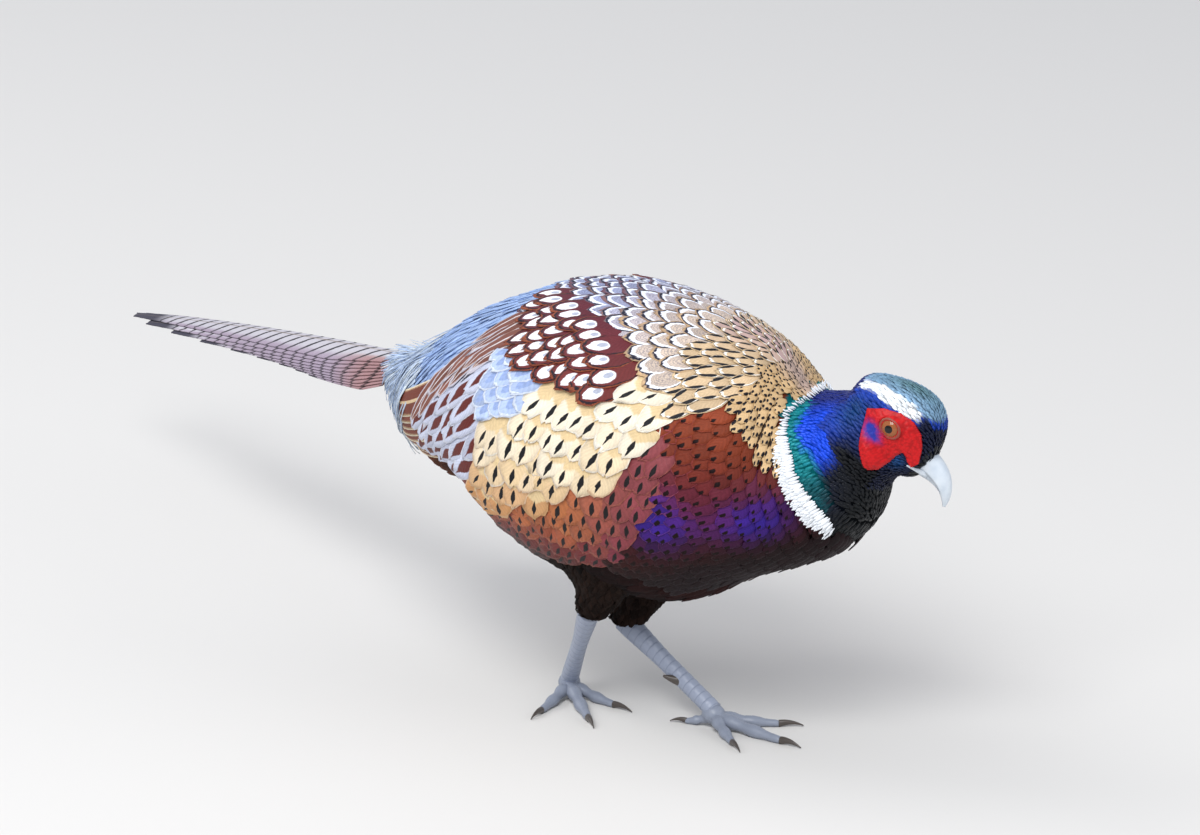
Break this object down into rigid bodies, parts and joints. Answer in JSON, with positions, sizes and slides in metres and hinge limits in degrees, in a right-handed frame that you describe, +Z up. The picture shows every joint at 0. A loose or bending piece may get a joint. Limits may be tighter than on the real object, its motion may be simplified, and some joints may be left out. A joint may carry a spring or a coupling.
{
  "type": "bird figure",
  "caption": "Life-size cock ring-necked pheasant, walking with its head low and its long barred tail trailing, in full autumn plumage.",
  "frame": {"origin": "on the ground under the middle of the bird's bounding box", "axes": "+X the way the body points, +Y to the bird's left, +Z up"},
  "size_m": [0.6716, 0.1984, 0.2179],
  "materials": {
    "body": "satin",
    "neck": "satin",
    "bill": "satin",
    "eye": "gloss",
    "wattle": "satin",
    "wing": "matte",
    "tail": "matte",
    "thigh": "matte",
    "leg": "satin",
    "claw": "satin"
  },
  "bodies": {
    "root": {"bill_lower": "bill", "bill_upper": "bill", "claw_left_back": "claw", "claw_left_inner": "claw", "claw_left_middle": "claw", "claw_left_outer": "claw", "claw_right_back": "claw", "claw_right_inner": "claw", "claw_right_middle": "claw", "claw_right_outer": "claw", "eye_left": "eye", "eye_right": "eye", "face_left": "wattle", "face_right": "wattle", "foot_left": "leg", "foot_right": "leg", "head": "neck", "neck": "neck", "shank_left": "leg", "shank_right": "leg", "spur_left": "claw", "spur_right": "claw", "tail": "tail", "thigh_left": "thigh", "thigh_right": "thigh", "torso": "body", "wing_left": "wing", "wing_right": "wing"}
  },
  "joints": []
}
